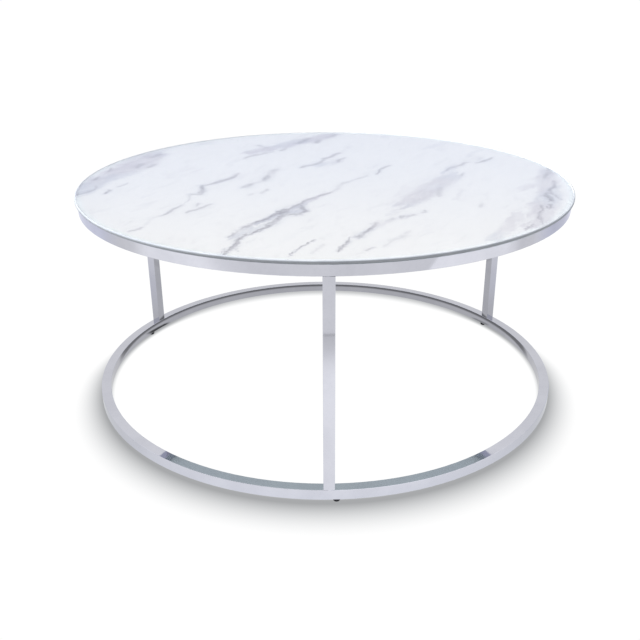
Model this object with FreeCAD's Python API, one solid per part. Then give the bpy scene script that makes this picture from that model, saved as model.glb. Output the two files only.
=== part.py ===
import FreeCAD
import Part
import os
from math import cos, degrees, isclose, radians, sin, sqrt

# Round occasional table: a marble-printed glass disc on a frame of polished square tube.
# Millimetres, +Z up. The origin is on the floor under the middle of the top, and the front leg
# stands towards -Y. Two equal rings are screwed to three upright legs.

# Glass top and the printed layer bonded under it
table_height = 450.0
glass_diameter = 1000.0
glass_thickness = 6.0
glass_rim_flat = 1.2
print_margin = 0.5
print_thickness = 0.3

# Clear pads between the top ring and the glass, in each bay between two legs
pad_diameter = 12.0
pad_thickness = 1.2
pads_per_bay = 2

# Square tube of the rings and legs
tube_side = 20.0
tube_wall = 1.2
tube_corner = 0.6
least_inner_corner = 0.3
glass_overhang = 5.0
leg_names = ("front", "rear_right", "rear_left")
front_leg_angle = -90.0

# Threaded plugs in the ends of the legs, and the M6 screws and washers that hold the rings to them
plug_length = 14.0
plug_clearance = 0.1
thread_clearance = 0.05
screw_diameter = 6.0
screw_length = 16.0
screw_head_diameter = 10.0
screw_head_height = 6.0
screw_socket_width = 5.0
screw_socket_depth = 3.0
screw_hole_clearance = 0.3
washer_diameter = 12.0
washer_thickness = 1.6
lock_washer_diameter = 9.9
lock_washer_thickness = 1.6
lock_washer_slit = 1.0
washer_bore_clearance = 0.2
access_clearance = 0.5

# Screw-in feet: a rivet nut in the base ring, some way round from its leg, and a domed glide moulded
# on the head of an M6 stud
foot_offsets = {"front": 13.0, "rear_right": 13.0, "rear_left": 33.0}
foot_diameter = 13.0
foot_dome_radius = 4.0
foot_rim_round = 0.6
foot_sole_thickness = 2.0
foot_lip_thickness = 3.5
stud_diameter = 6.0
stud_head_diameter = 9.0
stud_head_height = 2.5
stud_headroom = 3.3
stud_point = 0.6
moulding_clearance = 0.05
rivet_flange_diameter = 10.6
rivet_flange_thickness = 1.0
rivet_shank_diameter = 9.0
rivet_bulge_diameter = 11.4
rivet_bulge_height = 3.0
rivet_barrel_height = 8.0
rivet_hole_clearance = 0.1

# Levels and radii that follow from the sizes above
up = FreeCAD.Vector(0, 0, 1)
bay_angle = 360 / len(leg_names)
leg_angles = {name: front_leg_angle + bay_angle * place for place, name in enumerate(leg_names)}
ring_radius = glass_diameter / 2 - glass_overhang - tube_side / 2
tube_bore = tube_side - 2 * tube_wall
inner_corner = max(tube_corner - tube_wall, least_inner_corner)
stud_head_top = foot_sole_thickness + stud_head_height
foot_height = stud_head_top + foot_lip_thickness
base_bottom = foot_height + rivet_flange_thickness
base_top = base_bottom + tube_side
stud_top = base_top - tube_wall - stud_headroom
glass_rim_round = (glass_thickness - glass_rim_flat) / 2
glass_bottom = table_height - glass_thickness
print_diameter = glass_diameter - 2 * (glass_rim_round + print_margin)
print_bottom = glass_bottom - print_thickness
top_ring_top = print_bottom - pad_thickness
top_ring_bottom = top_ring_top - tube_side
leg_length = top_ring_bottom - base_top
screw_hole_radius = screw_diameter / 2 + screw_hole_clearance
washer_bore_radius = screw_diameter / 2 + washer_bore_clearance
access_radius = max(washer_diameter, screw_head_diameter) / 2 + access_clearance
rivet_hole_radius = rivet_shank_diameter / 2 + rivet_hole_clearance
screw_seat = tube_wall + washer_thickness + lock_washer_thickness


def on_ring(angle, z=0.0):
    """The point of the ring tubes' centre circle at an angle in degrees, at height z."""
    return FreeCAD.Vector(ring_radius * cos(radians(angle)), ring_radius * sin(radians(angle)), z)


def foot_angle(leg_name):
    """The place on the ring, in degrees, of the foot beside a leg."""
    return leg_angles[leg_name] + degrees(foot_offsets[leg_name] / ring_radius)


def placed(shape, angle, z, upside_down=False):
    """A copy of a shape modelled at the origin, turned to face outwards at a place on the ring."""
    copy = shape.copy()
    if upside_down:
        copy.rotate(FreeCAD.Vector(), FreeCAD.Vector(1, 0, 0), 180)
    copy.rotate(FreeCAD.Vector(), up, angle)
    copy.translate(on_ring(angle, z))
    return copy


def rod(diameter, low, high):
    """An upright cylinder on the Z axis between two heights."""
    return Part.makeCylinder(diameter / 2, high - low, FreeCAD.Vector(0, 0, low))


def rims(solid, level):
    """The round edges of an upright solid at a height."""
    return [edge for edge in solid.Edges if edge.Closed and isclose(edge.CenterOfMass.z, level, abs_tol=1e-6)]


def turned(points):
    """The solid turned about the Z axis from an outline of (radius, height) points."""
    corners = [FreeCAD.Vector(radius, 0, height) for radius, height in points]
    outline = Part.Face(Part.makePolygon(corners + corners[:1]))
    return outline.revolve(FreeCAD.Vector(), up, 360)


def rounded_square(side, corner):
    """A square face with rounded corners, centred on the origin."""
    half = side / 2
    run = half - corner
    bulge = run + corner * sqrt(0.5)
    edges = []
    for quarter in range(4):
        turn = FreeCAD.Rotation(up, 90 * quarter)
        flat_start = turn.multVec(FreeCAD.Vector(half, -run, 0))
        flat_end = turn.multVec(FreeCAD.Vector(half, run, 0))
        arc_middle = turn.multVec(FreeCAD.Vector(bulge, bulge, 0))
        arc_end = turn.multVec(FreeCAD.Vector(run, half, 0))
        edges.append(Part.LineSegment(flat_start, flat_end).toShape())
        edges.append(Part.Arc(flat_end, arc_middle, arc_end).toShape())
    return Part.Face(Part.Wire(edges))


def tube_section():
    """The hollow square section of the tube, in the XY plane."""
    return rounded_square(tube_side, tube_corner).cut(rounded_square(tube_bore, inner_corner))


def tube_ring(bottom):
    """A closed ring rolled from the tube, with its underside at a height."""
    section = tube_section()
    section.rotate(FreeCAD.Vector(), FreeCAD.Vector(1, 0, 0), 90)
    section.translate(FreeCAD.Vector(ring_radius, 0, bottom + tube_side / 2))
    return section.revolve(FreeCAD.Vector(), up, 360)


def wall_hole(radius, wall_bottom):
    """A drill for one wall of a ring tube, long enough to pass both of its faces."""
    return rod(2 * radius, wall_bottom - tube_wall / 2, wall_bottom + 1.5 * tube_wall)


def glass_disc():
    """The glass top, with its rim rounded above and below."""
    disc = rod(glass_diameter, glass_bottom, table_height)
    return disc.makeFillet(glass_rim_round, rims(disc, glass_bottom) + rims(disc, table_height))


def leg_plug():
    """A threaded plug, with its outer end at z = 0 and its body below."""
    block = rounded_square(tube_bore - 2 * plug_clearance, inner_corner).extrude(-up * plug_length)
    return block.cut(rod(screw_diameter + 2 * thread_clearance, -1.5 * plug_length, plug_length))


def socket_screw():
    """A socket-head screw pointing down, with the underside of its head at z = 0."""
    screw = rod(screw_diameter, -screw_length, 0).fuse(rod(screw_head_diameter, 0, screw_head_height))
    hexagon = Part.makePolygon([
        FreeCAD.Rotation(up, 60 * corner).multVec(FreeCAD.Vector(screw_socket_width / sqrt(3), 0, 0))
        for corner in range(7)
    ])
    socket = Part.Face(hexagon).extrude(up * screw_head_height)
    socket.translate(up * (screw_head_height - screw_socket_depth))
    return screw.cut(socket).removeSplitter()


def flat_washer():
    """A plain washer standing on z = 0."""
    bore = rod(2 * washer_bore_radius, -washer_thickness, 2 * washer_thickness)
    return rod(washer_diameter, 0, washer_thickness).cut(bore)


def lock_washer():
    """A split washer standing on z = 0."""
    bore = rod(2 * washer_bore_radius, -lock_washer_thickness, 2 * lock_washer_thickness)
    slit = Part.makeBox(lock_washer_diameter, lock_washer_slit, lock_washer_thickness,
                        FreeCAD.Vector(0, -lock_washer_slit / 2, 0))
    return rod(lock_washer_diameter, 0, lock_washer_thickness).cut([bore, slit])


def rivet_nut():
    """A set rivet nut, with the wall that it grips between z = 0 and the wall's thickness."""
    bore = stud_diameter / 2 + thread_clearance
    bulge_top = tube_wall + rivet_bulge_height
    return turned([
        (bore, -rivet_flange_thickness),
        (rivet_flange_diameter / 2, -rivet_flange_thickness),
        (rivet_flange_diameter / 2, 0),
        (rivet_shank_diameter / 2, 0),
        (rivet_shank_diameter / 2, tube_wall),
        (rivet_bulge_diameter / 2, tube_wall),
        (rivet_shank_diameter / 2, bulge_top),
        (rivet_shank_diameter / 2, tube_wall + rivet_barrel_height),
        (bore, tube_wall + rivet_barrel_height),
    ])


def foot_stud():
    """The foot's stud standing on the floor, with its head inside the glide."""
    return turned([
        (0, foot_sole_thickness),
        (stud_head_diameter / 2, foot_sole_thickness),
        (stud_head_diameter / 2, stud_head_top),
        (stud_diameter / 2, stud_head_top),
        (stud_diameter / 2, stud_top - stud_point),
        (stud_diameter / 2 - stud_point, stud_top),
        (0, stud_top),
    ])


def foot_glide():
    """The domed glide standing on the floor, moulded round the stud's head."""
    glide = rod(foot_diameter, 0, foot_height)
    glide = glide.makeFillet(foot_rim_round, rims(glide, foot_height))
    glide = glide.makeFillet(foot_dome_radius, rims(glide, 0))
    head_room = rod(stud_head_diameter + 2 * moulding_clearance, foot_sole_thickness, stud_head_top)
    neck = rod(stud_diameter + 2 * moulding_clearance, foot_sole_thickness, 2 * foot_height)
    return glide.cut([head_room, neck])


def save(name, shape):
    """Write one piece, which has to be one valid solid."""
    (solid,) = shape.Solids
    if not solid.isValid():
        raise ValueError(f"{name} is not a valid solid")
    solid.exportStep(f"parts/{name}.step")


os.makedirs("parts", exist_ok=True)

# Top: the glass, its print, and the pads that it lies on
save("glass_top", glass_disc())
save("marble_print", rod(print_diameter, print_bottom, glass_bottom))
glass_pad = rod(pad_diameter, top_ring_top, print_bottom)
pad_angles = [
    angle + bay_angle * (place + 0.5) / pads_per_bay
    for angle in leg_angles.values()
    for place in range(pads_per_bay)
]
for number, angle in enumerate(pad_angles, start=1):
    save(f"glass_pad_{number}", placed(glass_pad, angle, 0))

# Rings: a screw hole in the wall that meets each leg, an access hole opposite, and a hole for each foot
top_drills = []
base_drills = []
for leg_name, angle in leg_angles.items():
    top_drills.append(placed(wall_hole(screw_hole_radius, top_ring_bottom), angle, 0))
    top_drills.append(placed(wall_hole(access_radius, top_ring_top - tube_wall), angle, 0))
    base_drills.append(placed(wall_hole(screw_hole_radius, base_top - tube_wall), angle, 0))
    base_drills.append(placed(wall_hole(access_radius, base_bottom), angle, 0))
    base_drills.append(placed(wall_hole(rivet_hole_radius, base_bottom), foot_angle(leg_name), 0))
save("top_ring", tube_ring(top_ring_bottom).cut(top_drills))
save("base_ring", tube_ring(base_bottom).cut(base_drills))

# Legs: each with its plugs, screws, washers and foot
leg = tube_section().extrude(up * leg_length)
for leg_name, angle in leg_angles.items():
    save(f"leg_{leg_name}", placed(leg, angle, base_top))
    for ring_name, joint_level, inwards in [
        ("top", top_ring_bottom, 1),
        ("base", base_top, -1),
    ]:
        flip = inwards < 0
        washer_level = joint_level + inwards * tube_wall
        lock_washer_level = washer_level + inwards * washer_thickness
        save(f"leg_{ring_name}_plug_{leg_name}", placed(leg_plug(), angle, joint_level, flip))
        save(f"{ring_name}_washer_{leg_name}", placed(flat_washer(), angle, washer_level, flip))
        save(f"{ring_name}_lock_washer_{leg_name}", placed(lock_washer(), angle, lock_washer_level, flip))
        save(f"{ring_name}_screw_{leg_name}",
             placed(socket_screw(), angle, joint_level + inwards * screw_seat, flip))
    foot_place = foot_angle(leg_name)
    save(f"foot_rivet_nut_{leg_name}", placed(rivet_nut(), foot_place, base_bottom))
    save(f"foot_stud_{leg_name}", placed(foot_stud(), foot_place, 0))
    save(f"foot_pad_{leg_name}", placed(foot_glide(), foot_place, 0))
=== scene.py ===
from math import cos, floor, pi, radians, sin

import bmesh
import bpy
from mathutils import Matrix, Vector


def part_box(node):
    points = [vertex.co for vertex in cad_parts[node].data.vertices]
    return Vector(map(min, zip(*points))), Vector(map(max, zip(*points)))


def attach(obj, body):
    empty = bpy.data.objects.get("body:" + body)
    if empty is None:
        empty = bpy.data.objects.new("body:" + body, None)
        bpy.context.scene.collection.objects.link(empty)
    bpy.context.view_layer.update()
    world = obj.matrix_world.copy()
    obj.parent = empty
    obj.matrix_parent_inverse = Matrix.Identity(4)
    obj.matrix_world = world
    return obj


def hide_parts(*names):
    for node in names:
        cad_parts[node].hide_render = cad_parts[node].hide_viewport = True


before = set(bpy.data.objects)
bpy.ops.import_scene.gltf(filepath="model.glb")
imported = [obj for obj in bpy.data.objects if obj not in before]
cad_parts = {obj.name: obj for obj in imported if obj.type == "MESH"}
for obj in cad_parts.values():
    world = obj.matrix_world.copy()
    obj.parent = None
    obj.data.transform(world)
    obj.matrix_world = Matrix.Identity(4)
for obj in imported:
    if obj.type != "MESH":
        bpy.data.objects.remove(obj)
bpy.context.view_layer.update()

# Base ring
# A length of square stainless tube rolled into a closed ring and mirror-polished. It stands just off
# the floor on three screw-in feet and carries the legs.
tube_tone = (0.625, 0.632, 0.695, 1.0)
tube_worn_tone = (0.585, 0.592, 0.655, 1.0)
tube_bright_roughness = 0.02
tube_dull_roughness = 0.06
tube_blotches_per_metre = 14.0
tube_waves_per_metre = 7.0
tube_wave_height = 0.0006
tube_wave_strength = 0.3
line_share = 0.4
speck_share = 0.35


def add_node(tree, kind, inputs=None, **settings):
    """Add a shader node and fill its inputs, each from a value or from another node's output."""
    made = tree.nodes.new("ShaderNode" + kind)
    for name, value in settings.items():
        setattr(made, name, value)
    for place, value in (inputs or {}).items():
        if isinstance(value, bpy.types.NodeSocket):
            tree.links.new(value, made.inputs[place])
        else:
            made.inputs[place].default_value = value
    return made


def calculate(tree, operation, first, second=0.0, third=0.0):
    """The result of one arithmetic node."""
    return add_node(tree, "Math", {0: first, 1: second, 2: third}, operation=operation).outputs[0]


def measure(tree, operation, first, second=(0.0, 0.0, 0.0)):
    """The number that one vector node gives, such as a length or a distance."""
    return add_node(tree, "VectorMath", {0: first, 1: second}, operation=operation).outputs["Value"]


def ramp(tree, value, low, high, at_low=0.0, at_high=1.0, smooth=True):
    """A value carried from one range to another, levelling off at both ends."""
    kind = "SMOOTHSTEP" if smooth else "LINEAR"
    return add_node(tree, "MapRange", {0: value, 1: low, 2: high, 3: at_low, 4: at_high},
                    interpolation_type=kind, clamp=not smooth).outputs[0]


def blend_tones(tree, share, first, second):
    """A mix of two colours."""
    return add_node(tree, "Mix", {0: share, 6: first, 7: second}, data_type="RGBA").outputs[2]


def noise(tree, place, per_metre, detail=2.0, roughness=0.5):
    """The outputs of a cloudy noise texture: Fac and Color."""
    inputs = {"Vector": place, "Scale": per_metre, "Detail": detail, "Roughness": roughness}
    return add_node(tree, "TexNoise", inputs).outputs


def new_group(name, inputs, outputs):
    """An empty shader node group with named sockets, given as name: (socket type, first value)."""
    group = bpy.data.node_groups.new(name, "ShaderNodeTree")
    for socket_name, (kind, first_value) in inputs.items():
        socket = group.interface.new_socket(socket_name, in_out="INPUT", socket_type="NodeSocket" + kind)
        socket.default_value = first_value
    for socket_name, kind in outputs.items():
        group.interface.new_socket(socket_name, in_out="OUTPUT", socket_type="NodeSocket" + kind)
    return group, group.nodes.new("NodeGroupInput").outputs, group.nodes.new("NodeGroupOutput").inputs


def use_group(tree, group, inputs):
    """The outputs of a node group placed in a material."""
    return add_node(tree, "Group", inputs, node_tree=group).outputs


def start_material(name, **constants):
    """A new material with plain values on its Principled shader; returns it, its tree and its shader."""
    material = bpy.data.materials.new(name)
    material.use_nodes = True
    shader = material.node_tree.nodes["Principled BSDF"]
    for socket, value in constants.items():
        shader.inputs[socket.replace("_", " ")].default_value = value
    return material, material.node_tree, shader


def finish_shader(tree, shader, **sockets):
    """Link a material's worked-out colour, roughness and normal to its shader."""
    for socket, output in sockets.items():
        tree.links.new(output, shader.inputs[socket.replace("_", " ")])


def handling_marks_group():
    """Faint blotches and fine specks that every handled surface carries, as one mask from 0 to 1."""
    group, given, result = new_group(
        "handling_marks",
        {
            "Place": ("Vector", (0, 0, 0)),
            "Blotches per metre": ("Float", 9.0),
            "Specks per metre": ("Float", 160.0),
        },
        {"Mask": "Float"},
    )
    blotches = noise(group, given["Place"], given["Blotches per metre"], detail=5.0, roughness=0.55)["Fac"]
    specks = noise(group, given["Place"], given["Specks per metre"])["Fac"]
    soft = ramp(group, blotches, low=0.38, high=0.68)
    fine = ramp(group, specks, low=0.45, high=0.75, smooth=False)
    both = calculate(group, "MULTIPLY_ADD", fine, speck_share, soft)
    group.links.new(calculate(group, "MINIMUM", both, 1.0), result["Mask"])
    return group


def polishing_lines_group():
    """Hair-fine lines left by the polishing belt, which run along the tube; takes a place across them."""
    group, given, result = new_group(
        "polishing_lines",
        {"Across": ("Vector", (0, 0, 0)), "Lines per metre": ("Float", 1500.0)},
        {"Lines": "Float"},
    )
    lines = noise(group, given["Across"], given["Lines per metre"], detail=3.0, roughness=0.6)["Fac"]
    group.links.new(ramp(group, lines, low=0.3, high=0.7, smooth=False), result["Lines"])
    return group


handling_marks = handling_marks_group()
polishing_lines = polishing_lines_group()


def polished_tube(name, rolled):
    """Mirror-polished stainless tube; a rolled ring has its polishing lines round it, a leg along Z."""
    material, tree, shader = start_material(name, Metallic=1.0)
    place = add_node(tree, "TexCoord").outputs["Object"]
    split = add_node(tree, "SeparateXYZ", {0: place}).outputs
    if rolled:
        flat_place = add_node(tree, "CombineXYZ", {0: split["X"], 1: split["Y"]}).outputs[0]
        radius = measure(tree, "LENGTH", flat_place)
        across = add_node(tree, "CombineXYZ", {0: radius, 2: split["Z"]}).outputs[0]
    else:
        across = add_node(tree, "CombineXYZ", {0: split["X"], 1: split["Y"]}).outputs[0]
    lines = use_group(tree, polishing_lines, {"Across": across})["Lines"]
    marks = use_group(tree, handling_marks, {
        "Place": place, "Blotches per metre": tube_blotches_per_metre})["Mask"]
    dulled = calculate(tree, "MULTIPLY_ADD", lines, line_share, marks)
    waves = noise(tree, place, tube_waves_per_metre, detail=1.0)["Fac"]
    wavy = {"Strength": tube_wave_strength, "Distance": tube_wave_height, "Height": waves}
    finish_shader(
        tree, shader,
        Base_Color=blend_tones(tree, marks, tube_tone, tube_worn_tone),
        Roughness=ramp(tree, dulled, 0.0, 1.0 + line_share, tube_bright_roughness, tube_dull_roughness,
                       smooth=False),
        Normal=add_node(tree, "Bump", wavy).outputs[0],
    )
    return material


def dress(material, *node_names):
    """Give CAD nodes a finish through their material slots."""
    for node_name in node_names:
        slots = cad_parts[node_name].material_slots
        for slot in slots:
            slot.material = material


rolled_tube = polished_tube("polished_rolled_tube", rolled=True)
dress(rolled_tube, "base_ring")

# Feet
# Three glides of moulded black plastic, each moulded on the head of an M6 zinc-plated stud. The studs
# screw into rivet nuts set in the lower wall of the base ring and level the table.
leg_names = ("front", "rear_right", "rear_left")
glide_tone = (0.007, 0.006, 0.009, 1.0)
glide_scuffed_tone = (0.018, 0.017, 0.021, 1.0)
zinc_tone = (0.60, 0.61, 0.60, 1.0)
zinc_dull_tone = (0.42, 0.43, 0.42, 1.0)
glide_roughness = 0.38
glide_scuffed_roughness = 0.62
glide_grains_per_metre = 2600.0
glide_grain_height = 0.0001
glide_grain_strength = 0.4
zinc_roughness = 0.24
zinc_dull_roughness = 0.46
thread_pitch = 0.001
thread_depth = 0.00061
thread_radius = 0.00298
thread_root_share = 0.14
thread_crest_share = 0.94
thread_point = 0.0006
thread_steps = 32
thread_rows = 8
stud_head_height = 0.0025
stud_head_round = 0.0003


def black_glide():
    """Satin moulded plastic with a fine spark-eroded grain, scuffed here and there."""
    material, tree, shader = start_material("moulded_glide", Specular_IOR_Level=0.25)
    place = add_node(tree, "TexCoord").outputs["Object"]
    marks = use_group(tree, handling_marks, {
        "Place": place, "Blotches per metre": 180.0, "Specks per metre": 900.0})["Mask"]
    grain = noise(tree, place, glide_grains_per_metre)["Fac"]
    grainy = {"Strength": glide_grain_strength, "Distance": glide_grain_height, "Height": grain}
    finish_shader(
        tree, shader,
        Base_Color=blend_tones(tree, marks, glide_tone, glide_scuffed_tone),
        Roughness=ramp(tree, marks, 0.0, 1.0, glide_roughness, glide_scuffed_roughness, smooth=False),
        Normal=add_node(tree, "Bump", grainy).outputs[0],
    )
    return material


def zinc_plate():
    """Zinc-plated steel: bright and slightly mottled, duller in blotches."""
    material, tree, shader = start_material("zinc_plate", Metallic=1.0)
    place = add_node(tree, "TexCoord").outputs["Object"]
    marks = use_group(tree, handling_marks, {
        "Place": place, "Blotches per metre": 220.0, "Specks per metre": 1500.0})["Mask"]
    finish_shader(
        tree, shader,
        Base_Color=blend_tones(tree, marks, zinc_tone, zinc_dull_tone),
        Roughness=ramp(tree, marks, 0.0, 1.0, zinc_roughness, zinc_dull_roughness, smooth=False),
    )
    return material


def skin(name, rings, place):
    """A closed mesh piece from rings of points, lowest first; a ring of one point closes an end."""
    mesh = bmesh.new()
    rows = [[mesh.verts.new(point) for point in ring] for ring in rings]
    steps = max(len(row) for row in rows)
    for low, high in zip(rows, rows[1:]):
        for step in range(steps):
            ahead = (step + 1) % steps
            below = [low[step % len(low)], low[ahead % len(low)]]
            above = [high[ahead % len(high)], high[step % len(high)]]
            mesh.faces.new(dict.fromkeys(below + above)).smooth = True
    data = bpy.data.meshes.new(name)
    mesh.to_mesh(data)
    mesh.free()
    piece = bpy.data.objects.new(name, data)
    piece.location = place
    bpy.context.scene.collection.objects.link(piece)
    return piece


def circle(radius, height, steps):
    """A ring of points at a height, or the one point on the axis."""
    if radius == 0.0:
        return [(0.0, 0.0, height)]
    turns = [2 * pi * step / steps for step in range(steps)]
    return [(radius * cos(turn), radius * sin(turn), height) for turn in turns]


def thread_ring(height, start, top):
    """One level of a thread: the crest climbs a pitch each turn and is cut away towards the point."""
    limit = thread_radius - max(0.0, height - (top - thread_point))
    ring = []
    for step in range(thread_steps):
        turns = (height - start) / thread_pitch - step / thread_steps
        up_flank = abs(turns - floor(turns) - 0.5) * 2
        below_crest = (thread_crest_share - up_flank) / (thread_crest_share - thread_root_share)
        cut = min(1.0, max(0.0, below_crest))
        radius = min(limit, thread_radius - thread_depth * cut)
        turn = 2 * pi * step / thread_steps
        ring.append((radius * cos(turn), radius * sin(turn), height))
    return ring


def threaded_stud(leg_name):
    """The foot's stud: a round head inside the glide and a threaded shank up into the ring."""
    low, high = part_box(f"foot_stud_{leg_name}")
    middle = (low + high) / 2
    head_radius = (high.x - low.x) / 2
    head_top = low.z + stud_head_height
    rings = [
        circle(0.0, low.z, thread_steps),
        circle(head_radius - stud_head_round, low.z, thread_steps),
        circle(head_radius, low.z + stud_head_round, thread_steps),
        circle(head_radius, head_top - stud_head_round, thread_steps),
        circle(head_radius - stud_head_round, head_top, thread_steps),
        circle(thread_radius, head_top, thread_steps),
    ]
    rows = round((high.z - head_top) / thread_pitch * thread_rows)
    for row in range(1, rows + 1):
        rings.append(thread_ring(head_top + (high.z - head_top) * row / rows, head_top, high.z))
    rings.append(circle(0.0, high.z, thread_steps))
    return skin(f"threaded_stud_{leg_name}", rings, (middle.x, middle.y, 0.0))


zinc = zinc_plate()
glide_plastic = black_glide()
for leg_name in leg_names:
    dress(glide_plastic, f"foot_pad_{leg_name}")
    dress(zinc, f"foot_rivet_nut_{leg_name}")
    stud = threaded_stud(leg_name)
    stud.data.materials.append(zinc)
    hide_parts(f"foot_stud_{leg_name}")
    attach(stud, f"foot_{leg_name}")

# Legs
# Three straight lengths of the same square tube, polished along their length. A threaded steel plug
# is fixed in each end, and screws with plain and split washers clamp the rings to them.
straight_tube = polished_tube("polished_leg_tube", rolled=False)
for leg_name in leg_names:
    dress(straight_tube, f"leg_{leg_name}")
    for ring_name in ("top", "base"):
        dress(zinc, f"leg_{ring_name}_plug_{leg_name}", f"{ring_name}_screw_{leg_name}",
              f"{ring_name}_washer_{leg_name}", f"{ring_name}_lock_washer_{leg_name}")

# Top ring
# A second ring rolled from the same tube, screwed to the tops of the legs. It carries the glass, whose
# rim stands a few millimetres over it all round.
dress(rolled_tube, "top_ring")

# Pads
# Six small discs of clear silicone with rounded rims. They are stuck on the top ring and keep the glass
# off the metal.
pad_count = 6
pad_round = 0.0004
pad_steps = 48
flat_face = 0.9999
round_steps = 6
silicone_clear = (0.86, 0.89, 0.89, 1.0)
silicone_milky = (0.76, 0.79, 0.79, 1.0)
silicone_roughness = 0.22
silicone_dull_roughness = 0.42


def rounded_disc(name, radius, low, high, rounding, steps, place):
    """A disc about the Z axis with its rim rounded above and below, in smooth and flat faces."""
    quarter = [radians(90 * step / round_steps) for step in range(round_steps + 1)]
    profile = [(0.0, low)]
    for angle in quarter:
        profile.append((radius - rounding * (1 - sin(angle)), low + rounding * (1 - cos(angle))))
    for angle in quarter:
        profile.append((radius - rounding * (1 - cos(angle)), high - rounding * (1 - sin(angle))))
    profile.append((0.0, high))
    disc = skin(name, [circle(reach, height, steps) for reach, height in profile], place)
    for face in disc.data.polygons:
        face.use_smooth = abs(face.normal.z) < flat_face
    return disc


def clear_silicone():
    """Clear silicone, slightly milky, with a satin skin."""
    material, tree, shader = start_material("milky_silicone", Transmission_Weight=0.8, IOR=1.41)
    place = add_node(tree, "TexCoord").outputs["Object"]
    marks = use_group(tree, handling_marks, {
        "Place": place, "Blotches per metre": 160.0, "Specks per metre": 900.0})["Mask"]
    finish_shader(
        tree, shader,
        Base_Color=blend_tones(tree, marks, silicone_clear, silicone_milky),
        Roughness=ramp(tree, marks, 0.0, 1.0, silicone_roughness, silicone_dull_roughness, smooth=False),
    )
    return material


silicone = clear_silicone()
for number in range(1, pad_count + 1):
    low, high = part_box(f"glass_pad_{number}")
    middle = (low + high) / 2
    pad = rounded_disc(f"clear_pad_{number}", (high.x - low.x) / 2, low.z, high.z, pad_round, pad_steps,
                       (middle.x, middle.y, 0.0))
    pad.data.materials.append(silicone)
    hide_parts(f"glass_pad_{number}")
    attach(pad, "frame")

# Marble print
# A layer printed and bonded on the underside of the glass: white with slanting grey marble veining,
# backed by a pale grey-green sealing coat that only shows from below.
marble_white = (0.905, 0.905, 0.905, 1.0)
# Painted light: the print turns paler and cyan near its rim, a painted sheen for light from the glass edge
edge_light_tone = (0.885, 0.93, 0.94, 1.0)
cloud_blue = (0.53, 0.55, 0.635, 1.0)
cloud_mauve = (0.575, 0.545, 0.61, 1.0)
vein_tone = (0.25, 0.24, 0.30, 1.0)
back_coat = (0.75, 0.845, 0.83, 1.0)
print_roughness = 0.5
vein_slant = radians(58)
vein_stretch = 3.4
cloud_tip = 0.7
cloud_core = 0.35
cloud_tear = 0.22
vein_tip = 0.5
vein_core = 0.15
vein_spread = 1.25
vein_halo = 2.4
halo_share = 0.55
noise_middle = 0.5
noise_centre = (noise_middle, noise_middle, noise_middle)
facing_up = 0.5

# How finely each noise of the print varies, and how far it moves the veins and clouds, in metres
sways_per_metre = 24.0
grains_per_metre = 150.0
mottles_per_metre = 13.0
streaks_per_metre = 6.0
fine_streaks_per_metre = 70.0
tints_per_metre = 4.0
sway = (0.018, 0.018, 0.0)
vein_raggedness = (0.020, 0.020, 0.0)
cloud_raggedness = (0.030, 0.030, 0.0)

# Ranges of those noises, low and high, and the strength at each end; the painted edge light is by radius in
# metres
tint_range = (0.42, 0.58, 0.0, 1.0)
wash_range = (0.50, 0.78, 0.0, 0.16)
streak_width = (0.00, 0.02, 0.14, 0.0)
streak_patches = (0.40, 0.60, 0.0, 1.0)
cloud_patches = (0.34, 0.60, 0.62, 1.0)
cloud_streaks = (0.36, 0.64, 0.74, 1.10)
vein_breaks = (0.34, 0.54, 0.50, 1.10)
vein_grain = (0.36, 0.60, 0.45, 1.10)
edge_light_range = (0.482, 0.494, 0.0, 1.0)

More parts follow.
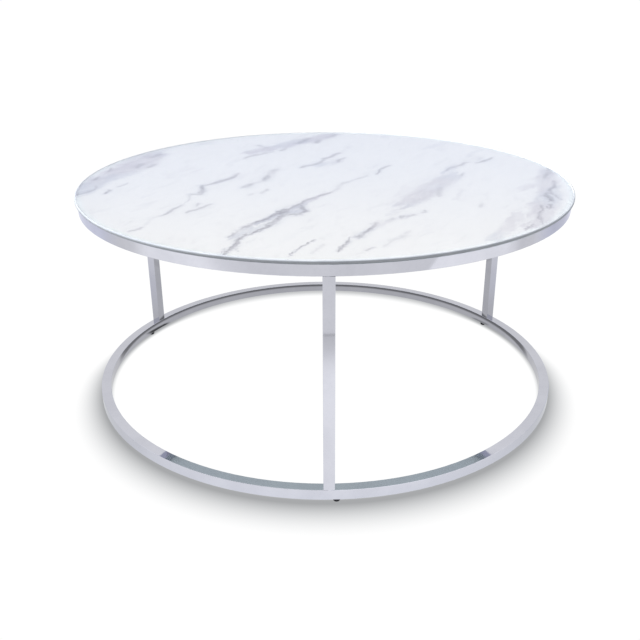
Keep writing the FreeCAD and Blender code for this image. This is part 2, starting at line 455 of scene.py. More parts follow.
# Each cloud and vein: its strength, its half width and its route over the print from above, in metres
clouds = [
    (1.00, 0.043, [(-0.484, -0.100), (-0.474, -0.020), (-0.452, 0.060), (-0.424, 0.130), (-0.400, 0.195),
                   (-0.386, 0.250)]),
    (0.62, 0.030, [(-0.478, 0.030), (-0.462, 0.100), (-0.442, 0.175), (-0.416, 0.240), (-0.388, 0.292)]),
    (0.70, 0.024, [(-0.448, 0.010), (-0.424, 0.055), (-0.405, 0.105), (-0.394, 0.150)]),
    (1.00, 0.038, [(-0.172, 0.262), (-0.130, 0.305), (-0.092, 0.340), (-0.052, 0.385), (-0.012, 0.425),
                   (0.030, 0.480)]),
    (0.76, 0.039, [(0.150, -0.186), (0.168, -0.150), (0.192, -0.110), (0.216, -0.066), (0.240, -0.028),
                   (0.260, 0.002), (0.274, 0.030)]),
    (0.66, 0.036, [(0.482, 0.070), (0.462, 0.000), (0.444, -0.070), (0.428, -0.140), (0.405, -0.200),
                   (0.382, -0.260), (0.362, -0.315)]),
    (0.60, 0.018, [(0.335, -0.262), (0.325, -0.310), (0.305, -0.345), (0.278, -0.378), (0.264, -0.415)]),
    (0.72, 0.021, [(-0.150, -0.362), (-0.139, -0.340), (-0.130, -0.322)]),
    (1.00, 0.013, [(-0.110, -0.287), (-0.094, -0.262), (-0.084, -0.240)]),
    (1.00, 0.020, [(-0.085, -0.245), (-0.060, -0.234), (-0.042, -0.220)]),
    (0.90, 0.012, [(-0.050, -0.202), (-0.034, -0.165), (-0.008, -0.125)]),
    (0.45, 0.013, [(0.048, -0.388), (0.070, -0.350), (0.095, -0.300)]),
    (0.30, 0.010, [(0.105, -0.295), (0.140, -0.265), (0.165, -0.250)]),
    (0.55, 0.018, [(-0.012, 0.135), (0.017, 0.150), (0.035, 0.165)]),
    (0.40, 0.009, [(-0.309, 0.122), (-0.308, 0.106), (-0.285, 0.097), (-0.256, 0.098)]),
    (0.40, 0.009, [(-0.333, 0.045), (-0.321, 0.024)]),
    (0.25, 0.008, [(-0.345, 0.085), (-0.335, 0.055)]),
    (0.30, 0.010, [(-0.222, 0.130), (-0.195, 0.182), (-0.177, 0.208)]),
    (0.28, 0.009, [(-0.182, -0.008), (-0.172, 0.028), (-0.161, 0.056)]),
    (0.40, 0.012, [(-0.118, 0.040), (-0.108, 0.075), (-0.099, 0.105)]),
    (0.30, 0.009, [(0.086, -0.336), (0.096, -0.304)]),
    (0.35, 0.008, [(0.060, 0.300), (0.068, 0.335)]),
    (0.45, 0.009, [(0.156, 0.395), (0.162, 0.425), (0.168, 0.458)]),
    (0.35, 0.016, [(0.262, 0.310), (0.290, 0.340), (0.316, 0.382)]),
    (0.30, 0.010, [(0.270, 0.250), (0.284, 0.275), (0.298, 0.302)]),
    (0.30, 0.012, [(0.345, 0.228), (0.372, 0.268), (0.402, 0.290)]),
    (0.60, 0.018, [(0.266, 0.072), (0.278, 0.094), (0.292, 0.114)]),
    (0.45, 0.013, [(0.247, -0.150), (0.258, -0.118), (0.266, -0.090)]),
    (0.30, 0.010, [(0.112, -0.260), (0.130, -0.220)]),
    (0.25, 0.020, [(0.150, -0.100), (0.165, -0.060)]),
    (0.25, 0.010, [(0.200, -0.030), (0.210, 0.000)]),
    (0.50, 0.013, [(0.380, -0.092), (0.407, -0.071), (0.440, -0.050)]),
    (0.30, 0.008, [(0.105, 0.100), (0.130, 0.150)]),
    # Painted shade: the faint wide band along the rear-left rim below is shade near the glass edge, drawn in
    # as a cloud
    (0.25, 0.020, [(-0.395, 0.290), (-0.340, 0.345), (-0.270, 0.385)]),
    (0.25, 0.006, [(-0.356, -0.136), (-0.338, -0.105)]),
    (0.25, 0.006, [(-0.193, -0.345), (-0.176, -0.375)]),
]
veins = [
    (0.75, 0.0042, [(-0.161, -0.468), (-0.158, -0.448), (-0.147, -0.418), (-0.147, -0.398), (-0.134, -0.368),
                    (-0.120, -0.348)]),
    (1.00, 0.0072, [(-0.122, -0.350), (-0.104, -0.321), (-0.094, -0.304), (-0.086, -0.284), (-0.077, -0.260),
                    (-0.081, -0.244), (-0.084, -0.230)]),
    (0.60, 0.0045, [(-0.164, -0.380), (-0.152, -0.352), (-0.137, -0.321), (-0.123, -0.298)]),
    (0.95, 0.0062, [(-0.123, -0.298), (-0.109, -0.284), (-0.097, -0.258), (-0.086, -0.238),
                    (-0.081, -0.222)]),
    (0.75, 0.0055, [(-0.081, -0.222), (-0.069, -0.221), (-0.060, -0.204), (-0.049, -0.181), (-0.037, -0.161),
                    (-0.020, -0.138), (-0.003, -0.115), (0.014, -0.098)]),
    (0.80, 0.0100, [(-0.077, -0.246), (-0.074, -0.222)]),
    (0.75, 0.0075, [(-0.070, -0.252), (-0.048, -0.250)]),
    (0.95, 0.0060, [(-0.044, -0.212), (-0.043, -0.200)]),
    (0.85, 0.0048, [(-0.077, -0.248), (-0.057, -0.254), (-0.046, -0.244), (-0.034, -0.233), (-0.037, -0.218),
                    (-0.043, -0.206), (-0.046, -0.190)]),
    (0.60, 0.0022, [(-0.163, -0.433), (-0.168, -0.464)]),
    (0.50, 0.0020, [(-0.150, -0.420), (-0.141, -0.450)]),
    (0.35, 0.0060, [(0.002, -0.109), (0.021, -0.090), (0.028, -0.057), (0.036, -0.034), (0.054, -0.019),
                    (0.073, 0.003), (0.090, 0.030)]),
    (0.70, 0.0045, [(0.113, 0.040), (0.119, 0.072), (0.121, 0.080)]),
    (0.65, 0.0045, [(0.126, 0.085), (0.133, 0.099), (0.148, 0.122)]),
    (0.80, 0.0022, [(-0.063, -0.470), (-0.049, -0.444), (-0.031, -0.410), (-0.020, -0.394)]),
    (0.75, 0.0028, [(0.014, -0.453), (0.024, -0.430), (0.031, -0.405), (0.037, -0.387)]),
    (0.52, 0.0080, [(0.049, -0.386), (0.062, -0.367)]),
    (0.80, 0.0050, [(0.063, -0.364), (0.072, -0.345), (0.077, -0.325)]),
    (0.45, 0.0050, [(0.078, -0.322), (0.086, -0.302)]),
    (0.28, 0.0070, [(0.108, -0.297), (0.119, -0.277)]),
    (0.60, 0.0055, [(0.134, -0.277), (0.139, -0.263)]),
    (0.38, 0.0060, [(0.142, -0.270), (0.158, -0.260)]),
    (0.45, 0.0042, [(0.174, -0.246), (0.180, -0.229)]),
    (0.48, 0.0036, [(0.060, -0.449), (0.071, -0.435)]),
    (0.22, 0.0060, [(0.088, -0.432), (0.106, -0.398), (0.129, -0.376), (0.140, -0.354)]),
    (0.50, 0.0040, [(-0.334, -0.343), (-0.319, -0.327), (-0.316, -0.318)]),
    (0.18, 0.0060, [(-0.312, -0.305), (-0.309, -0.272), (-0.297, -0.250)]),
    (0.80, 0.0040, [(-0.293, -0.250), (-0.283, -0.221), (-0.274, -0.201), (-0.266, -0.182)]),
    (0.32, 0.0028, [(-0.267, -0.184), (-0.263, -0.164), (-0.261, -0.138), (-0.263, -0.118), (-0.252, -0.109),
                    (-0.238, -0.109)]),
    (0.55, 0.0060, [(-0.262, -0.108), (-0.240, -0.110)]),
    (0.62, 0.0070, [(-0.242, -0.100), (-0.243, -0.078), (-0.245, -0.066)]),
    (0.92, 0.0074, [(-0.245, -0.068), (-0.247, -0.040)]),
    (0.72, 0.0078, [(-0.246, -0.048), (-0.229, -0.026), (-0.214, -0.007), (-0.199, 0.007), (-0.188, 0.030),
                    (-0.184, 0.056)]),
    (0.50, 0.0066, [(-0.252, -0.235), (-0.246, -0.221), (-0.226, -0.198), (-0.214, -0.178)]),
    (0.45, 0.0055, [(-0.240, -0.192), (-0.236, -0.172)]),
    (0.72, 0.0090, [(-0.160, -0.055), (-0.149, -0.037)]),
    (0.45, 0.0070, [(-0.150, -0.036), (-0.130, -0.014)]),
    (0.66, 0.0100, [(-0.124, -0.004), (-0.120, 0.020), (-0.120, 0.040)]),
    (0.40, 0.0090, [(-0.120, 0.038), (-0.112, 0.063), (-0.101, 0.090)]),
    (0.50, 0.0052, [(-0.122, -0.102), (-0.112, -0.076)]),
    (0.30, 0.0050, [(-0.148, -0.118), (-0.138, -0.105)]),
    (0.60, 0.0070, [(-0.046, 0.108), (-0.041, 0.123), (-0.025, 0.134), (-0.006, 0.150), (0.002, 0.185)]),
    (0.75, 0.0070, [(0.002, 0.190), (0.021, 0.213), (0.040, 0.248)]),
    (0.85, 0.0050, [(0.032, 0.155), (0.038, 0.184), (0.050, 0.200)]),
    (0.70, 0.0035, [(-0.485, -0.113), (-0.470, -0.093), (-0.459, -0.067), (-0.463, -0.037)]),
    (0.95, 0.0055, [(-0.431, -0.096), (-0.428, -0.072)]),
    (0.45, 0.0045, [(-0.415, -0.047), (-0.403, -0.016)]),
    (0.80, 0.0040, [(-0.470, 0.118), (-0.466, 0.088)]),
    (0.88, 0.0080, [(-0.480, 0.010), (-0.475, 0.035)]),
    (0.50, 0.0120, [(-0.412, 0.120), (-0.405, 0.150)]),
    (0.65, 0.0095, [(-0.384, 0.120), (-0.377, 0.148)]),
    (0.50, 0.0120, [(-0.398, 0.215), (-0.383, 0.252)]),
    (0.60, 0.0070, [(-0.096, 0.280), (-0.088, 0.315)]),
    (0.50, 0.0090, [(-0.154, 0.345), (-0.136, 0.312)]),
    (0.80, 0.0110, [(-0.062, 0.362), (-0.048, 0.390), (-0.034, 0.428)]),
    (0.65, 0.0090, [(-0.016, 0.368), (-0.004, 0.402)]),
    (0.50, 0.0100, [(0.015, 0.425), (0.036, 0.472)]),
    (0.55, 0.0070, [(-0.178, 0.203), (-0.166, 0.230), (-0.143, 0.246), (-0.114, 0.268)]),
    (0.55, 0.0045, [(0.262, 0.068), (0.272, 0.091), (0.291, 0.103), (0.303, 0.114), (0.312, 0.141),
                    (0.330, 0.146)]),
    (0.70, 0.0055, [(0.343, 0.135), (0.360, 0.151), (0.372, 0.164), (0.388, 0.192)]),
    (0.30, 0.0080, [(0.352, 0.165), (0.360, 0.190)]),
    (0.38, 0.0080, [(0.220, -0.136), (0.224, -0.105), (0.233, -0.074)]),
    (0.50, 0.0040, [(0.290, 0.022), (0.297, 0.046)]),
    (0.28, 0.0045, [(0.283, -0.212), (0.291, -0.190)]),
    (0.75, 0.0045, [(0.470, -0.028), (0.462, -0.050), (0.457, -0.075), (0.441, -0.105), (0.437, -0.122),
                    (0.441, -0.146), (0.443, -0.163)]),
    (0.90, 0.0065, [(0.430, -0.118), (0.422, -0.138), (0.427, -0.153), (0.423, -0.176)]),
    (0.80, 0.0050, [(0.416, -0.198), (0.413, -0.213), (0.405, -0.227)]),
    (0.75, 0.0042, [(0.401, -0.206), (0.392, -0.227), (0.383, -0.250), (0.380, -0.268), (0.373, -0.291),
                    (0.369, -0.315)]),
    (0.65, 0.0028, [(0.352, -0.318), (0.340, -0.339), (0.332, -0.352)]),
    (0.60, 0.0070, [(0.456, -0.004), (0.467, 0.020), (0.480, 0.050), (0.489, 0.082)]),
    (0.20, 0.0050, [(-0.024, -0.462), (-0.006, -0.416)]),
]


def vector_math(tree, operation, first, second=(0.0, 0.0, 0.0), third=(0.0, 0.0, 0.0)):
    """The vector that one vector node gives."""
    return add_node(tree, "VectorMath", {0: first, 1: second, 2: third}, operation=operation).outputs[0]


def vein_strand_group():
    """One straight run of a vein: full strength near its middle line, fading out at its half width."""
    group, given, result = new_group(
        "vein_strand",
        {
            "Place": ("Vector", (0, 0, 0)),
            "Start": ("Vector", (0, 0, 0)),
            "Run": ("Vector", (1, 0, 0)),
            "Along": ("Vector", (1, 0, 0)),
            "Half width": ("Float", 0.005),
            "Widening": ("Float", 0.0),
            "Strength": ("Float", 1.0),
            "Core": ("Float", 0.2),
        },
        {"Mask": "Float", "Halo": "Float"},
    )
    from_start = vector_math(group, "SUBTRACT", given["Place"], given["Start"])
    part = measure(group, "DOT_PRODUCT", from_start, given["Along"])
    share = calculate(group, "MINIMUM", calculate(group, "MAXIMUM", part, 0.0), 1.0)
    nearest = add_node(group, "VectorMath", {0: given["Run"], "Scale": share}, operation="SCALE").outputs[0]
    off = measure(group, "DISTANCE", from_start, nearest)
    half_width = calculate(group, "MULTIPLY_ADD", share, given["Widening"], given["Half width"])
    widths = calculate(group, "DIVIDE", off, half_width)
    group.links.new(ramp(group, widths, given["Core"], 1.0, given["Strength"], 0.0), result["Mask"])
    group.links.new(ramp(group, widths, given["Core"], vein_halo, given["Strength"], 0.0), result["Halo"])
    return group


vein_strand = vein_strand_group()


def strongest(tree, place, routes, tip, core, spread=1.0):
    """The strongest vein and halo at a place; each is widest half-way and narrows to a share at its tips."""
    most = None
    most_halo = None
    for strength, half_width, route in routes:
        last = len(route) - 1
        widths = []
        for step in range(last + 1):
            fullness = sin(pi * (step + 0.5) / (last + 1))
            widths.append(spread * half_width * (tip + (1 - tip) * fullness))
        for step in range(last):
            start = Vector((*route[step], 0.0))
            run = Vector((*route[step + 1], 0.0)) - start
            strand = use_group(tree, vein_strand, {
                "Place": place, "Start": start, "Run": run, "Along": run / run.length_squared,
                "Half width": widths[step], "Widening": widths[step + 1] - widths[step],
                "Strength": strength, "Core": core})
            if most is None:
                most = strand["Mask"]
                most_halo = strand["Halo"]
            else:
                most = calculate(tree, "MAXIMUM", most, strand["Mask"])
                most_halo = calculate(tree, "MAXIMUM", most_halo, strand["Halo"])
    return most, most_halo


def marble_print():
    """White marble with slanting veins: a faint wash and streaks, soft clouds and dark veins over them."""
    material, tree, shader = start_material("printed_marble", Roughness=print_roughness,
                                            Specular_IOR_Level=0.0)
    place = add_node(tree, "TexCoord").outputs["Object"]
    flat = vector_math(tree, "MULTIPLY", place, (1.0, 1.0, 0.0))
    swaying = noise(tree, flat, sways_per_metre, detail=2.0, roughness=0.6)["Color"]
    sideways = vector_math(tree, "SUBTRACT", swaying, noise_centre)
    bent = vector_math(tree, "MULTIPLY_ADD", sideways, sway, flat)
    grain = noise(tree, flat, grains_per_metre, detail=4.0, roughness=0.65)
    raggedly = vector_math(tree, "SUBTRACT", grain["Color"], noise_centre)
    vein_place = vector_math(tree, "MULTIPLY_ADD", raggedly, vein_raggedness, bent)
    turned = add_node(tree, "VectorRotate", {"Vector": bent, "Angle": -vein_slant},
                      rotation_type="Z_AXIS").outputs[0]
    drawn_out = vector_math(tree, "MULTIPLY", turned, (1.0, vein_stretch, 0.0))
    mottle = noise(tree, drawn_out, mottles_per_metre, detail=7.0, roughness=0.62)["Fac"]
    tear = calculate(tree, "MULTIPLY", calculate(tree, "SUBTRACT", mottle, noise_middle), cloud_tear)
    torn = add_node(tree, "VectorMath", {0: (cos(vein_slant), sin(vein_slant), 0.0), "Scale": tear},
                    operation="SCALE").outputs[0]
    torn_place = vector_math(tree, "ADD", bent, torn)
    cloud_place = vector_math(tree, "MULTIPLY_ADD", raggedly, cloud_raggedness, torn_place)
    streak = noise(tree, drawn_out, streaks_per_metre, detail=5.0, roughness=0.55)["Fac"]
    fine_streak = noise(tree, drawn_out, fine_streaks_per_metre, detail=4.0, roughness=0.6)["Fac"]
    tint = noise(tree, flat, tints_per_metre)["Fac"]

    cloud_tone = blend_tones(tree, ramp(tree, tint, *tint_range), cloud_blue, cloud_mauve)
    wash = ramp(tree, mottle, *wash_range)
    off_streak = calculate(tree, "ABSOLUTE", calculate(tree, "SUBTRACT", streak, noise_middle))
    faint = calculate(tree, "MULTIPLY", ramp(tree, off_streak, *streak_width),
                      ramp(tree, mottle, *streak_patches))
    patchy = ramp(tree, mottle, *cloud_patches)
    streaky = ramp(tree, fine_streak, *cloud_streaks)
    cloud_mask = strongest(tree, cloud_place, clouds, cloud_tip, cloud_core)[0]
    cloud = calculate(tree, "MULTIPLY", cloud_mask, calculate(tree, "MULTIPLY", patchy, streaky))
    broken = calculate(tree, "MULTIPLY", ramp(tree, mottle, *vein_breaks),
                       ramp(tree, grain["Fac"], *vein_grain))
    vein_mask, halo_mask = strongest(tree, vein_place, veins, vein_tip, vein_core, vein_spread)
    vein = calculate(tree, "MULTIPLY", vein_mask, broken)
    halo = calculate(tree, "MULTIPLY", halo_mask, calculate(tree, "MULTIPLY", patchy, halo_share))

    radius = measure(tree, "LENGTH", flat)
    # Painted light: a paler cyan band near the rim of the print
    tone = blend_tones(tree, ramp(tree, radius, *edge_light_range), marble_white, edge_light_tone)
    for mask, stone in [(wash, cloud_tone), (cloud, cloud_tone), (halo, cloud_tone), (faint, vein_tone),
                        (vein, vein_tone)]:
        tone = blend_tones(tree, mask, tone, stone)
    normal = add_node(tree, "NewGeometry").outputs["Normal"]
    upward = add_node(tree, "SeparateXYZ", {0: normal}).outputs["Z"]
    printed = calculate(tree, "GREATER_THAN", upward, facing_up)
    finish_shader(tree, shader, Base_Color=blend_tones(tree, printed, back_coat, tone))
    return material


dress(marble_print(), "marble_print")

# Glass top
# A disc of clear tempered float glass whose rim is ground round and satin-polished. It lies loose on
# the pads and lifts off by hand.
glass_low, glass_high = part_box("glass_top")
glass_radius = min(glass_high.x, -glass_low.x, glass_high.y, -glass_low.y)
optical_gap = 0.00005
rim_round = 0.0024
rim_steps = 360
rim_tone = (0.235, 0.253, 0.278, 1.0)
rim_pale_tone = (0.27, 0.288, 0.312, 1.0)
# Painted light: the rim seen from inside the glass takes a far paler tone, for light that a ground edge lets
# through
rim_inside_light_tone = (0.86, 0.88, 0.88, 1.0)
rim_roughness = 0.32
rim_dull_roughness = 0.46
rim_lines_per_metre = 9000.0
rim_line_depth = 0.0001
rim_line_strength = 0.15
glass_tone = (0.985, 0.99, 0.99, 1.0)
glass_shadow_tone = (0.955, 0.965, 0.965, 1.0)
glass_smears = (0.2, 1.2, 0.0, 0.02)


def clear_glass():
    """Clear float glass that lets lamp light through to the print, with the faintest smears of a cloth."""
    material, tree, shader = start_material(
        "float_glass", Base_Color=glass_tone, Transmission_Weight=1.0, IOR=1.5)
    place = add_node(tree, "TexCoord").outputs["Object"]
    smears = use_group(tree, handling_marks, {
        "Place": place, "Blotches per metre": 6.0, "Specks per metre": 40.0})["Mask"]
    finish_shader(tree, shader, Roughness=ramp(tree, smears, *glass_smears, smooth=False))
    lets_light = add_node(tree, "BsdfTransparent", {0: glass_shadow_tone}).outputs[0]
    in_shadow = add_node(tree, "LightPath").outputs["Is Shadow Ray"]
    mix = add_node(tree, "MixShader", {0: in_shadow, 1: shader.outputs[0], 2: lets_light})
    tree.links.new(mix.outputs[0], tree.nodes["Material Output"].inputs["Surface"])
    return material


def ground_rim():
    """The ground and satin-polished edge of the glass: blue-grey, with fine lines round the rim, and a
    painted light tone where it is seen from inside the glass.
    """
    material, tree, shader = start_material("ground_glass_rim", Specular_IOR_Level=0.5)
    place = add_node(tree, "TexCoord").outputs["Object"]
    height = add_node(tree, "SeparateXYZ", {0: place}).outputs["Z"]
    marks = use_group(tree, handling_marks, {
        "Place": place, "Blotches per metre": 30.0, "Specks per metre": 400.0})["Mask"]
    across = add_node(tree, "CombineXYZ", {2: height}).outputs[0]
    lines = use_group(tree, polishing_lines, {
        "Across": across, "Lines per metre": rim_lines_per_metre})["Lines"]
    lined = {"Strength": rim_line_strength, "Distance": rim_line_depth, "Height": lines}
    ground = blend_tones(tree, marks, rim_tone, rim_pale_tone)
    # Painted light: faces seen from inside the glass take the pale tone
    from_inside = add_node(tree, "NewGeometry").outputs["Backfacing"]
    finish_shader(
        tree, shader,
        Base_Color=blend_tones(tree, from_inside, ground, rim_inside_light_tone),
        Roughness=ramp(tree, lines, 0.0, 1.0, rim_roughness, rim_dull_roughness, smooth=False),
        Normal=add_node(tree, "Bump", lined).outputs[0],
    )
    return material


glass = rounded_disc("glass_disc", glass_radius, glass_low.z + optical_gap, glass_high.z, rim_round,
                     rim_steps, (0.0, 0.0, 0.0))
glass.data.materials.append(clear_glass())
glass.data.materials.append(ground_rim())
for face in glass.data.polygons:
    face.material_index = 1 if face.use_smooth else 0
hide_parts("glass_top")
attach(glass, "top")

# Studio
# A floor of white paper that glows, with painted shade round the base ring and painted light and shade for
# the polished tubes to mirror; soft light that is brightest overhead, a lamp high at the left for the rim of
# the glass, and a camera at the photograph's angle.
floor_half = 8.0
floor_white = 1.02
ring_outer = 0.495
ring_inner = 0.475

# Shade round the base ring: ranges of frontness, from -1 behind to 1 in front, with the reach, the radius
# or the depth at each end
side_reach = (-0.5, 0.0, 0.012, 0.055)
front_reach = (0.0, 1.0, 0.0, 0.045)
shade_starts = (-0.9, -0.5, 0.450, 0.468)
shade_full = (-0.9, -0.5, 0.507, 0.487)
shade_depth = (-0.9, -0.5, 0.5, 0.6)
shade_fall = 1.8
plain_tint = (1.0, 1.0, 1.0, 1.0)
shade_tint = (0.93, 0.96, 1.0, 1.0)

# Light of the paper that the tubes mirror: ranges in metres over the floor, and the light at each end
dimmest_place = (0.0, 0.45, 0.0)
open_floor_light = (0.35, 1.15, 0.60, 0.86)
front_pool_light = (0.20, 0.52, 0.0, 0.26)
far_front_light = (0.70, 1.10, 0.0, 0.08)
far_front_shade = (0.92, 1.17, 0.0, -0.40)
far_front_shade_width = (0.10, 0.45, 1.0, 0.0)
right_side_shade = (1.10, 1.50, 0.0, -0.14)
right_side_rear = (-0.60, -0.20, 1.0, 0.0)
paper_edge = 1.188
paper_turn = 0.085
paper_edge_softness = (-0.9, -0.1, 0.30, 0.003)
paper_edge_line = (0.003, 0.007, -0.40, 0.0)
paper_edge_line_width = (0.3, 0.6, 1.0, 0.0)
past_paper_light = 0.92
back_light_rear = (-0.50, 0.10, 1.0, 0.0)
back_light_outside = (0.55, 0.75, 0.0, 1.0)
back_light_tint = (0.94, 0.96, 1.09, 1.0)

# Painted shade that the base ring's inner wall mirrors from close by: a dark line and streaks; each streak
# has a depth, a reach and a place beside a rear leg
close_range = (0.12, 0.30, 1.0, 0.15)
wall_line_inward = 0.070
wall_line = (0.006, 0.018, -0.40, 0.0)
wall_line_rear = (-0.26, -0.08, 1.0, 0.0)
streak_radius = 0.459
wall_streak = (0.003, 0.009, 1.0, 0.0)
streak_full = 0.6
streak_end = 1.2
leg_streaks = [(0.85, 0.038, (-0.392, 0.232, 0.0)), (0.40, 0.028, (0.378, 0.254, 0.0))]

# Light all round: ranges of the direction, by its Y from -1 in front to 1 behind or by its height
front_light = (-0.9, 0.4, 1.25, 1.0)
back_range = (-0.6, -0.1, 0.0, 1.0)
low_range = (0.18, 0.70, 1.0, 0.0)
overhead_range = (0.50, 0.95, 0.0, 1.0)
overhead_tone = (1.54, 1.525, 1.56, 1.0)
haze_range = (0.22, 0.36, 0.0, 1.0)
haze_low_tone = (0.68, 0.73, 0.86, 1.0)
haze_tone = (0.76, 0.76, 0.76, 1.0)
low_front_range = (-0.5, -0.1, 1.0, 0.0)
low_front_height = (0.40, 0.60, 1.0, 0.0)
low_front_tone = (0.42, 0.42, 0.43, 1.0)


def ring_shade(tree, radius, frontness):
    """The soft shade round the base ring: widest in front, narrow behind."""
    reach = calculate(tree, "ADD", ramp(tree, frontness, *side_reach, smooth=False),
                      ramp(tree, frontness, *front_reach, smooth=False))
    beyond = calculate(tree, "DIVIDE", calculate(tree, "SUBTRACT", radius, ring_outer), reach)
    left_over = calculate(tree, "SUBTRACT", 1.0, ramp(tree, beyond, 0.0, 1.0, smooth=False))
    fall = calculate(tree, "POWER", left_over, shade_fall)
    starts = ramp(tree, frontness, *shade_starts)
    full = ramp(tree, frontness, *shade_full)
    depth = ramp(tree, frontness, *shade_depth)
    return calculate(tree, "MULTIPLY", fall, ramp(tree, radius, starts, full, 0.0, depth))


def paper_light(tree, place, sideways, forward):
    """The paper's light in the polished tubes: dim under the table, brighter in front, up to its edge."""
    aside = calculate(tree, "ABSOLUTE", sideways)
    open_floor = ramp(tree, measure(tree, "DISTANCE", place, dimmest_place), *open_floor_light)
    front_pool = calculate(tree, "ADD", ramp(tree, forward, *front_pool_light),
                           ramp(tree, forward, *far_front_light))
    dim_front = calculate(tree, "MULTIPLY", ramp(tree, forward, *far_front_shade),
                          ramp(tree, aside, *far_front_shade_width))
    on_paper = calculate(tree, "ADD", calculate(tree, "ADD", open_floor, front_pool), dim_front)
    to_edge = calculate(tree, "SUBTRACT", calculate(tree, "MULTIPLY_ADD", aside, -paper_turn, forward),
                        paper_edge)
    softness = ramp(tree, sideways, *paper_edge_softness)
    past_edge = ramp(tree, calculate(tree, "DIVIDE", to_edge, softness), -1.0, 1.0)
    both = add_node(tree, "Mix", {0: past_edge, 2: on_paper, 3: past_paper_light}).outputs[0]
    edge_line = calculate(tree, "MULTIPLY",
                          ramp(tree, calculate(tree, "ABSOLUTE", to_edge), *paper_edge_line),
                          ramp(tree, aside, *paper_edge_line_width))
    right_rear = calculate(tree, "MULTIPLY", ramp(tree, sideways, *right_side_shade),
                           ramp(tree, forward, *right_side_rear))
    return calculate(tree, "ADD", calculate(tree, "ADD", both, edge_line), right_rear)


def wall_shades(tree, light, place, radius, frontness, ray_length):
    """The paper's light with the painted dark line and shade streaks that the base ring's inner wall
    mirrors.
    """
    close_by = ramp(tree, ray_length, *close_range)
    inward = calculate(tree, "DIVIDE", calculate(tree, "SUBTRACT", radius, ring_inner), frontness)
    off_line = calculate(tree, "ABSOLUTE", calculate(tree, "SUBTRACT", inward, wall_line_inward))
    at_rear = calculate(tree, "MULTIPLY", ramp(tree, frontness, *wall_line_rear), close_by)
    line = calculate(tree, "MULTIPLY", ramp(tree, off_line, *wall_line), at_rear)
    lit = calculate(tree, "ADD", light, line)
    off_wall = calculate(tree, "ABSOLUTE", calculate(tree, "SUBTRACT", radius, streak_radius))
    by_wall = calculate(tree, "MULTIPLY", ramp(tree, off_wall, *wall_streak), close_by)
    for depth, reach, leg_place in leg_streaks:
        off_leg = measure(tree, "DISTANCE", place, leg_place)
        by_leg = ramp(tree, off_leg, streak_full * reach, streak_end * reach, depth, 0.0)
        dark = calculate(tree, "MULTIPLY", by_leg, by_wall)
        lit = calculate(tree, "MULTIPLY", lit, calculate(tree, "SUBTRACT", 1.0, dark))
    return lit


def studio_floor():
    """Glowing white paper: what the camera sees of it with its painted shade, and the softer painted light
    that the polished tubes mirror.
    """
    material = bpy.data.materials.new("studio_floor")
    material.use_nodes = True
    tree = material.node_tree
    tree.nodes.remove(tree.nodes["Principled BSDF"])
    place = add_node(tree, "TexCoord").outputs["Object"]
    split = add_node(tree, "SeparateXYZ", {0: place}).outputs
    forward = calculate(tree, "MULTIPLY", split["Y"], -1.0)
    radius = measure(tree, "LENGTH", place)
    frontness = calculate(tree, "DIVIDE", forward, radius)
    path = add_node(tree, "LightPath").outputs

    shade = ring_shade(tree, radius, frontness)
    seen = calculate(tree, "MULTIPLY", calculate(tree, "SUBTRACT", 1.0, shade), floor_white)
    paper = paper_light(tree, place, split["X"], forward)
    lit = wall_shades(tree, paper, place, radius, frontness, path["Ray Length"])
    strength = add_node(tree, "Mix", {0: path["Is Camera Ray"], 2: lit, 3: seen}).outputs[0]

    at_back = calculate(tree, "MULTIPLY", ramp(tree, forward, *back_light_rear),
                        ramp(tree, radius, *back_light_outside))
    mirrored = calculate(tree, "SUBTRACT", 1.0, path["Is Camera Ray"])
    back_light = calculate(tree, "MULTIPLY", at_back, mirrored)
    shaded = blend_tones(tree, shade, plain_tint, shade_tint)
    tint = blend_tones(tree, back_light, shaded, back_light_tint)
    glow = add_node(tree, "Emission", {0: tint, 1: strength})
    tree.links.new(glow.outputs[0], tree.nodes["Material Output"].inputs["Surface"])
    return material


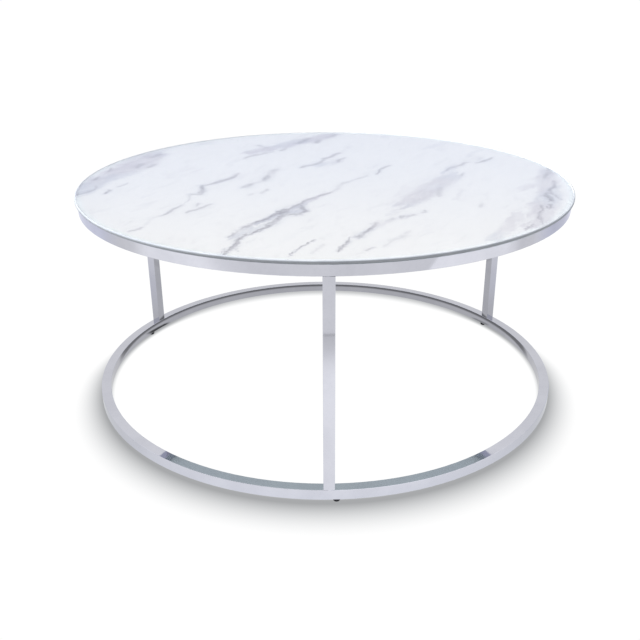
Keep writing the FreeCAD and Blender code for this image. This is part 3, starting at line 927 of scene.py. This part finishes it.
def studio_world():
    """Soft light all round: brightest overhead, hazy low down behind and darkest low down in front."""
    world = bpy.data.worlds.new("studio")
    world.use_nodes = True
    tree = world.node_tree
    direction = add_node(tree, "TexCoord").outputs["Generated"]
    split = add_node(tree, "SeparateXYZ", {0: direction}).outputs
    all_round = ramp(tree, split["Y"], *front_light)
    plain = add_node(tree, "CombineXYZ", {0: all_round, 1: all_round, 2: all_round}).outputs[0]
    above = blend_tones(tree, ramp(tree, split["Z"], *overhead_range), plain, overhead_tone)
    low_back = calculate(tree, "MULTIPLY", ramp(tree, split["Y"], *back_range),
                         ramp(tree, split["Z"], *low_range))
    haze = blend_tones(tree, ramp(tree, split["Z"], *haze_range), haze_low_tone, haze_tone)
    rear_lit = blend_tones(tree, low_back, above, haze)
    low_front = calculate(tree, "MULTIPLY", ramp(tree, split["Y"], *low_front_range),
                          ramp(tree, split["Z"], *low_front_height))
    light = blend_tones(tree, low_front, rear_lit, low_front_tone)
    to_camera = add_node(tree, "LightPath").outputs["Is Camera Ray"]
    seen = blend_tones(tree, to_camera, light, (floor_white, floor_white, floor_white, 1.0))
    tree.links.new(seen, tree.nodes["Background"].inputs["Color"])
    return world


corners = ((-1, -1), (1, -1), (1, 1), (-1, 1))
floor_mesh = bpy.data.meshes.new("floor")
floor_mesh.from_pydata([(x * floor_half, y * floor_half, 0.0) for x, y in corners], [], [(0, 1, 2, 3)])
floor_mesh.materials.append(studio_floor())
floor_sheet = bpy.data.objects.new("floor", floor_mesh)
bpy.context.scene.collection.objects.link(floor_sheet)
bpy.context.scene.world = studio_world()
bpy.context.scene.view_settings.view_transform = "Standard"

lamp_place = Vector((-1.42, -0.15, 3.10))
lamp_aim = Vector((0.0, 0.0, 0.45))
rim_lamp = bpy.data.objects.new("rim_lamp", bpy.data.lights.new("rim_lamp", "AREA"))
rim_lamp.data.energy = 265.0
rim_lamp.data.size = 1.2
rim_lamp.location = lamp_place
rim_lamp.rotation_euler = (lamp_place - lamp_aim).to_track_quat("Z", "Y").to_euler()
bpy.context.scene.collection.objects.link(rim_lamp)
lamp_lit = bpy.data.collections.new("lamp_lit")
lamp_lit.objects.link(glass)
rim_lamp.light_linking.receiver_collection = lamp_lit
rim_lamp.visible_transmission = False
rim_lamp.visible_glossy = False

camera_place = Vector((-0.02298, -1.64341, 0.86176))
camera_yaw = radians(0.439)
camera_down = radians(24.004)
camera_roll = radians(-0.332)
camera = bpy.data.objects.new("camera", bpy.data.cameras.new("camera"))
camera.data.sensor_width = 36.0
camera.data.lens = 45.30
camera.matrix_world = (
    Matrix.Translation(camera_place)
    @ Matrix.Rotation(-camera_yaw, 4, "Z")
    @ Matrix.Rotation(pi / 2 - camera_down, 4, "X")
    @ Matrix.Rotation(camera_roll, 4, "Z")
)
bpy.context.scene.collection.objects.link(camera)
bpy.context.scene.camera = camera
